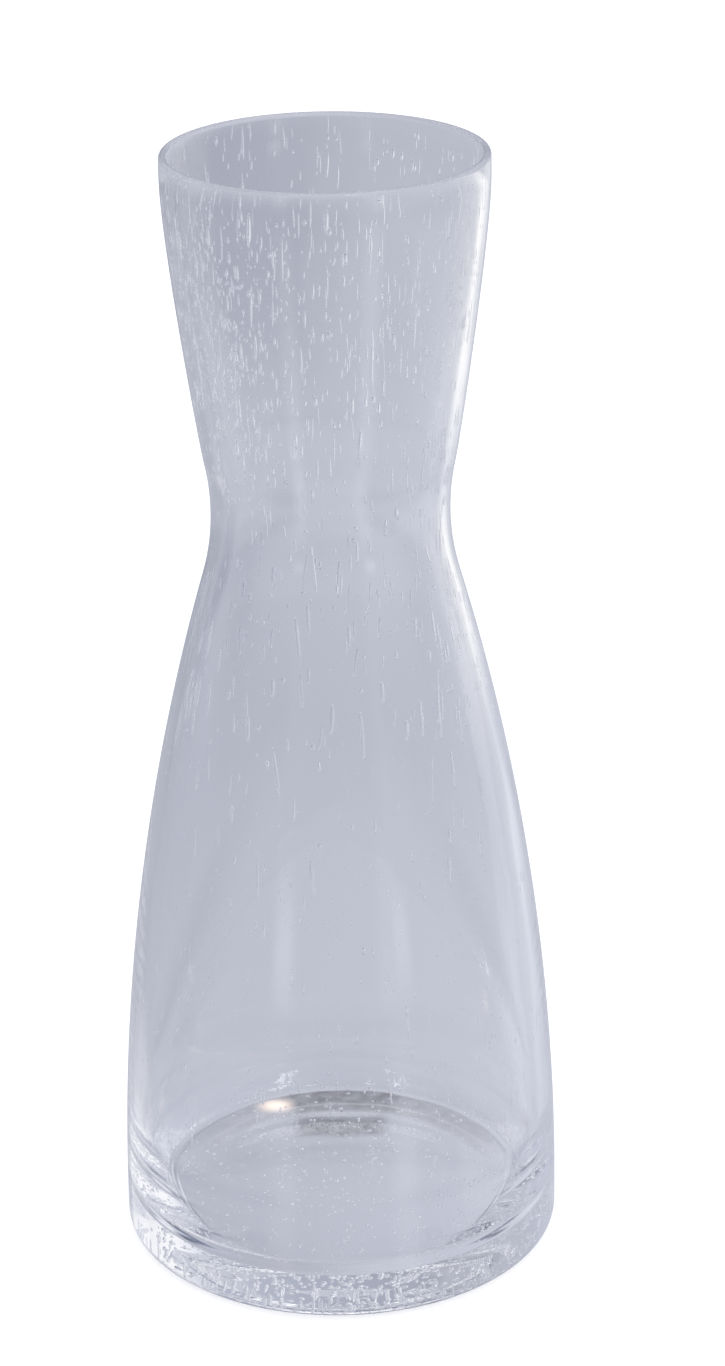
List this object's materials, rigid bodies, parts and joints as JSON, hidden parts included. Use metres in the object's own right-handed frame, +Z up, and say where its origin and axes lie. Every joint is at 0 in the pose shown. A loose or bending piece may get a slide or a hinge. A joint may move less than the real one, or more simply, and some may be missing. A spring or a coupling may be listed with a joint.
{
  "type": "glass carafe",
  "caption": "Clear seeded-glass carafe with a heavy flat base, bell-shaped body, drawn-in waist and flared neck with a rounded rim, for holding and pouring drinks.",
  "frame": {"origin": "middle of the foot, on the surface that the carafe stands on", "axes": "+Z up along the axis that the whole glass is round about; X and Y level"},
  "size_m": [0.11, 0.11, 0.28],
  "materials": {
    "glass": "clear, smooth, fire-polished, with many small air seeds in the glass"
  },
  "bodies": {
    "root": {"base": "glass", "body": "glass", "shoulder": "glass", "waist": "glass", "neck": "glass", "rim": "glass"}
  },
  "joints": []
}
